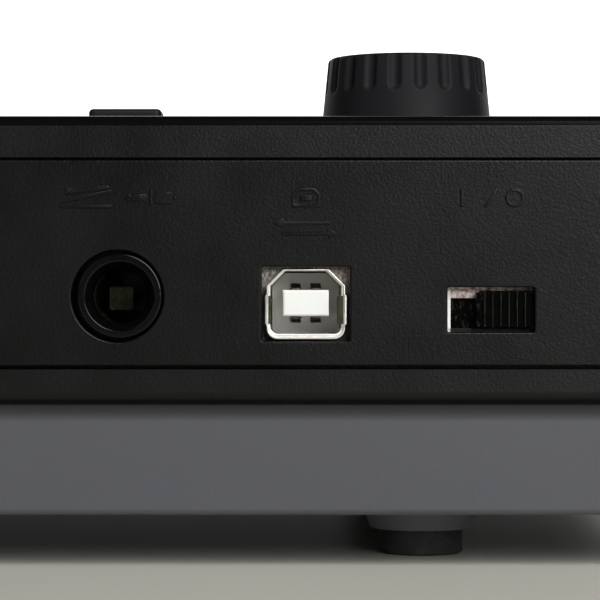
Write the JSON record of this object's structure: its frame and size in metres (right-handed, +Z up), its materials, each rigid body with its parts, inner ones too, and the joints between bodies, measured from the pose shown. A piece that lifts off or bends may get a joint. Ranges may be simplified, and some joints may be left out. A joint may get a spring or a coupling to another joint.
{
  "type": "keyboard controller",
  "caption": "Compact keyboard controller: piano-style sprung keys, two thumb wheels, push buttons and a fluted volume knob on a black case, with pedal jack, data socket and power switch behind.",
  "frame": {"origin": "on the surface the instrument stands on, under the middle of its case", "axes": "+X to the player's right, +Y from the player to the rear panel, +Z up"},
  "size_m": [0.47, 0.192, 0.0645],
  "materials": {
    "shell_black": "fine-textured black moulded plastic",
    "panel_black": "fine-textured black moulded plastic",
    "shell_grey": "finely textured mid-grey moulded plastic",
    "rubber_black": "matt black rubber",
    "key_white": "polished off-white plastic",
    "key_black": "satin black plastic",
    "knob_black": "satin black moulded plastic",
    "button_black": "satin black moulded plastic",
    "wheel_black": "satin black moulded plastic",
    "socket_black": "polished black moulded plastic",
    "slider_black": "satin black moulded plastic",
    "chassis_grey": "dark grey moulded plastic",
    "plated_steel": "bright nickel plate with drawn edges",
    "spring_steel": "bright spring steel",
    "zinc_steel": "zinc-plated steel",
    "contact_metal": "gilt contact metal",
    "insulator_white": "white moulded thermoplastic",
    "board_green": "green lacquered circuit board",
    "silicone_grey": "translucent grey silicone rubber",
    "felt_red": "pressed wool felt",
    "ribbon_grey": "grey flat cable",
    "lens_clear": "clear acrylic light guide"
  },
  "bodies": {
    "case": {"upper_case": "shell_black", "lower_case": "shell_grey", "rear_panel": "panel_black", "screws": "zinc_steel", "rubber_feet": "rubber_black", "key_chassis": "chassis_grey", "key_pivot_rod": "spring_steel", "key_stop_felts": "felt_red", "key_return_springs": "spring_steel", "key_contact_board": "board_green", "contact_dome_strip": "silicone_grey", "usb_socket_shell": "plated_steel", "usb_socket_insulator": "insulator_white", "usb_socket_contacts": "contact_metal", "jack_socket_body": "socket_black", "jack_socket_contacts": "contact_metal", "power_switch_frame": "plated_steel", "power_switch_base": "socket_black", "main_board": "board_green", "panel_board": "board_green", "ribbon_cables": "ribbon_grey", "volume_pot_body": "zinc_steel", "led_windows": "lens_clear", "wheel_bracket": "chassis_grey", "wheel_pots": "socket_black", "pitch_centring_spring": "spring_steel"},
    "key_c1": {"key_c1": "key_white"},
    "key_c_sharp1": {"key_c_sharp1": "key_black"},
    "key_d1": {"key_d1": "key_white"},
    "key_d_sharp1": {"key_d_sharp1": "key_black"},
    "key_e1": {"key_e1": "key_white"},
    "key_f1": {"key_f1": "key_white"},
    "key_f_sharp1": {"key_f_sharp1": "key_black"},
    "key_g1": {"key_g1": "key_white"},
    "key_g_sharp1": {"key_g_sharp1": "key_black"},
    "key_a1": {"key_a1": "key_white"},
    "key_a_sharp1": {"key_a_sharp1": "key_black"},
    "key_b1": {"key_b1": "key_white"},
    "key_c2": {"key_c2": "key_white"},
    "key_c_sharp2": {"key_c_sharp2": "key_black"},
    "key_d2": {"key_d2": "key_white"},
    "key_d_sharp2": {"key_d_sharp2": "key_black"},
    "key_e2": {"key_e2": "key_white"},
    "key_f2": {"key_f2": "key_white"},
    "key_f_sharp2": {"key_f_sharp2": "key_black"},
    "key_g2": {"key_g2": "key_white"},
    "key_g_sharp2": {"key_g_sharp2": "key_black"},
    "key_a2": {"key_a2": "key_white"},
    "key_a_sharp2": {"key_a_sharp2": "key_black"},
    "key_b2": {"key_b2": "key_white"},
    "key_c3": {"key_c3": "key_white"},
    "volume_knob": {"volume_knob": "knob_black", "volume_pot_shaft": "zinc_steel"},
    "button_1": {"button_1": "button_black"},
    "button_2": {"button_2": "button_black"},
    "button_3": {"button_3": "button_black"},
    "button_4": {"button_4": "button_black"},
    "power_switch_slider": {"power_switch_slider": "slider_black"},
    "pitch_wheel": {"pitch_wheel": "wheel_black"},
    "mod_wheel": {"mod_wheel": "wheel_black"}
  },
  "joints": [
    {"name": "key_c1_press", "type": "hinge", "parent": "case", "child": "key_c1", "pos_m": [-0.12398, 0.054, 0.0335], "axis": [1, 0, 0], "range_deg": [0, 3.8], "stiffness_Nm_per_rad": 0.4, "springref_deg": -7.16, "deforming": ["key_return_springs", "contact_dome_strip"]},
    {"name": "key_c_sharp1_press", "type": "hinge", "parent": "case", "child": "key_c_sharp1", "pos_m": [-0.11026, 0.054, 0.0335], "axis": [1, 0, 0], "range_deg": [0, 4.2], "stiffness_Nm_per_rad": 0.4, "springref_deg": -7.16, "deforming": ["key_return_springs", "contact_dome_strip"]},
    {"name": "key_d1_press", "type": "hinge", "parent": "case", "child": "key_d1", "pos_m": [-0.0961, 0.054, 0.0335], "axis": [1, 0, 0], "range_deg": [0, 3.8], "stiffness_Nm_per_rad": 0.4, "springref_deg": -7.16, "deforming": ["key_return_springs", "contact_dome_strip"]},
    {"name": "key_d_sharp1_press", "type": "hinge", "parent": "case", "child": "key_d_sharp1", "pos_m": [-0.08194, 0.054, 0.0335], "axis": [1, 0, 0], "range_deg": [0, 4.2], "stiffness_Nm_per_rad": 0.4, "springref_deg": -7.16, "deforming": ["key_return_springs", "contact_dome_strip"]},
    {"name": "key_e1_press", "type": "hinge", "parent": "case", "child": "key_e1", "pos_m": [-0.06822, 0.054, 0.0335], "axis": [1, 0, 0], "range_deg": [0, 3.8], "stiffness_Nm_per_rad": 0.4, "springref_deg": -7.16, "deforming": ["key_return_springs", "contact_dome_strip"]},
    {"name": "key_f1_press", "type": "hinge", "parent": "case", "child": "key_f1", "pos_m": [-0.05369, 0.054, 0.0335], "axis": [1, 0, 0], "range_deg": [0, 3.8], "stiffness_Nm_per_rad": 0.4, "springref_deg": -7.16, "deforming": ["key_return_springs", "contact_dome_strip"]},
    {"name": "key_f_sharp1_press", "type": "hinge", "parent": "case", "child": "key_f_sharp1", "pos_m": [-0.04047, 0.054, 0.0335], "axis": [1, 0, 0], "range_deg": [0, 4.2], "stiffness_Nm_per_rad": 0.4, "springref_deg": -7.16, "deforming": ["key_return_springs", "contact_dome_strip"]},
    {"name": "key_g1_press", "type": "hinge", "parent": "case", "child": "key_g1", "pos_m": [-0.02699, 0.054, 0.0335], "axis": [1, 0, 0], "range_deg": [0, 3.8], "stiffness_Nm_per_rad": 0.4, "springref_deg": -7.16, "deforming": ["key_return_springs", "contact_dome_strip"]},
    {"name": "key_g_sharp1_press", "type": "hinge", "parent": "case", "child": "key_g_sharp1", "pos_m": [-0.0135, 0.054, 0.0335], "axis": [1, 0, 0], "range_deg": [0, 4.2], "stiffness_Nm_per_rad": 0.4, "springref_deg": -7.16, "deforming": ["key_return_springs", "contact_dome_strip"]},
    {"name": "key_a1_press", "type": "hinge", "parent": "case", "child": "key_a1", "pos_m": [-0.00001, 0.054, 0.0335], "axis": [1, 0, 0], "range_deg": [0, 3.8], "stiffness_Nm_per_rad": 0.4, "springref_deg": -7.16, "deforming": ["key_return_springs", "contact_dome_strip"]},
    {"name": "key_a_sharp1_press", "type": "hinge", "parent": "case", "child": "key_a_sharp1", "pos_m": [0.01347, 0.054, 0.0335], "axis": [1, 0, 0], "range_deg": [0, 4.2], "stiffness_Nm_per_rad": 0.4, "springref_deg": -7.16, "deforming": ["key_return_springs", "contact_dome_strip"]},
    {"name": "key_b1_press", "type": "hinge", "parent": "case", "child": "key_b1", "pos_m": [0.02669, 0.054, 0.0335], "axis": [1, 0, 0], "range_deg": [0, 3.8], "stiffness_Nm_per_rad": 0.4, "springref_deg": -7.16, "deforming": ["key_return_springs", "contact_dome_strip"]},
    {"name": "key_c2_press", "type": "hinge", "parent": "case", "child": "key_c2", "pos_m": [0.04122, 0.054, 0.0335], "axis": [1, 0, 0], "range_deg": [0, 3.8], "stiffness_Nm_per_rad": 0.4, "springref_deg": -7.16, "deforming": ["key_return_springs", "contact_dome_strip"]},
    {"name": "key_c_sharp2_press", "type": "hinge", "parent": "case", "child": "key_c_sharp2", "pos_m": [0.05494, 0.054, 0.0335], "axis": [1, 0, 0], "range_deg": [0, 4.2], "stiffness_Nm_per_rad": 0.4, "springref_deg": -7.16, "deforming": ["key_return_springs", "contact_dome_strip"]},
    {"name": "key_d2_press", "type": "hinge", "parent": "case", "child": "key_d2", "pos_m": [0.0691, 0.054, 0.0335], "axis": [1, 0, 0], "range_deg": [0, 3.8], "stiffness_Nm_per_rad": 0.4, "springref_deg": -7.16, "deforming": ["key_return_springs", "contact_dome_strip"]},
    {"name": "key_d_sharp2_press", "type": "hinge", "parent": "case", "child": "key_d_sharp2", "pos_m": [0.08326, 0.054, 0.0335], "axis": [1, 0, 0], "range_deg": [0, 4.2], "stiffness_Nm_per_rad": 0.4, "springref_deg": -7.16, "deforming": ["key_return_springs", "contact_dome_strip"]},
    {"name": "key_e2_press", "type": "hinge", "parent": "case", "child": "key_e2", "pos_m": [0.09698, 0.054, 0.0335], "axis": [1, 0, 0], "range_deg": [0, 3.8], "stiffness_Nm_per_rad": 0.4, "springref_deg": -7.16, "deforming": ["key_return_springs", "contact_dome_strip"]},
    {"name": "key_f2_press", "type": "hinge", "parent": "case", "child": "key_f2", "pos_m": [0.11151, 0.054, 0.0335], "axis": [1, 0, 0], "range_deg": [0, 3.8], "stiffness_Nm_per_rad": 0.4, "springref_deg": -7.16, "deforming": ["key_return_springs", "contact_dome_strip"]},
    {"name": "key_f_sharp2_press", "type": "hinge", "parent": "case", "child": "key_f_sharp2", "pos_m": [0.12473, 0.054, 0.0335], "axis": [1, 0, 0], "range_deg": [0, 4.2], "stiffness_Nm_per_rad": 0.4, "springref_deg": -7.16, "deforming": ["key_return_springs", "contact_dome_strip"]},
    {"name": "key_g2_press", "type": "hinge", "parent": "case", "child": "key_g2", "pos_m": [0.13821, 0.054, 0.0335], "axis": [1, 0, 0], "range_deg": [0, 3.8], "stiffness_Nm_per_rad": 0.4, "springref_deg": -7.16, "deforming": ["key_return_springs", "contact_dome_strip"]},
    {"name": "key_g_sharp2_press", "type": "hinge", "parent": "case", "child": "key_g_sharp2", "pos_m": [0.1517, 0.054, 0.0335], "axis": [1, 0, 0], "range_deg": [0, 4.2], "stiffness_Nm_per_rad": 0.4, "springref_deg": -7.16, "deforming": ["key_return_springs", "contact_dome_strip"]},
    {"name": "key_a2_press", "type": "hinge", "parent": "case", "child": "key_a2", "pos_m": [0.16519, 0.054, 0.0335], "axis": [1, 0, 0], "range_deg": [0, 3.8], "stiffness_Nm_per_rad": 0.4, "springref_deg": -7.16, "deforming": ["key_return_springs", "contact_dome_strip"]},
    {"name": "key_a_sharp2_press", "type": "hinge", "parent": "case", "child": "key_a_sharp2", "pos_m": [0.17867, 0.054, 0.0335], "axis": [1, 0, 0], "range_deg": [0, 4.2], "stiffness_Nm_per_rad": 0.4, "springref_deg": -7.16, "deforming": ["key_return_springs", "contact_dome_strip"]},
    {"name": "key_b2_press", "type": "hinge", "parent": "case", "child": "key_b2", "pos_m": [0.19189, 0.054, 0.0335], "axis": [1, 0, 0], "range_deg": [0, 3.8], "stiffness_Nm_per_rad": 0.4, "springref_deg": -7.16, "deforming": ["key_return_springs", "contact_dome_strip"]},
    {"name": "key_c3_press", "type": "hinge", "parent": "case", "child": "key_c3", "pos_m": [0.2107, 0.054, 0.0335], "axis": [1, 0, 0], "range_deg": [0, 3.8], "stiffness_Nm_per_rad": 0.4, "springref_deg": -7.16, "deforming": ["key_return_springs", "contact_dome_strip"]},
    {"name": "volume_turn", "type": "hinge", "parent": "case", "child": "volume_knob", "pos_m": [-0.19395, 0.069, 0.06], "axis": [0, 0, 1], "range_deg": [-150, 150]},
    {"name": "button_1_press", "type": "slide", "parent": "case", "child": "button_1", "axis": [0, 0, -1], "range_m": [0, 0.0008], "stiffness_N_per_m": 400, "springref_m": -0.002},
    {"name": "button_2_press", "type": "slide", "parent": "case", "child": "button_2", "axis": [0, 0, -1], "range_m": [0, 0.0008], "stiffness_N_per_m": 400, "springref_m": -0.002},
    {"name": "button_3_press", "type": "slide", "parent": "case", "child": "button_3", "axis": [0, 0, -1], "range_m": [0, 0.0008], "stiffness_N_per_m": 400, "springref_m": -0.002},
    {"name": "button_4_press", "type": "slide", "parent": "case", "child": "button_4", "axis": [0, 0, -1], "range_m": [0, 0.0008], "stiffness_N_per_m": 400, "springref_m": -0.002},
    {"name": "power_switch_slide", "type": "slide", "parent": "case", "child": "power_switch_slider", "axis": [1, 0, 0], "range_m": [0, 0.0031]},
    {"name": "pitch_wheel_turn", "type": "hinge", "parent": "case", "child": "pitch_wheel", "pos_m": [-0.205, -0.005, 0.04], "axis": [1, 0, 0], "range_deg": [-28, 28], "stiffness_Nm_per_rad": 0.06, "deforming": ["pitch_centring_spring"]},
    {"name": "mod_wheel_turn", "type": "hinge", "parent": "case", "child": "mod_wheel", "pos_m": [-0.177, -0.005, 0.04], "axis": [1, 0, 0], "range_deg": [-54, 0]}
  ]
}
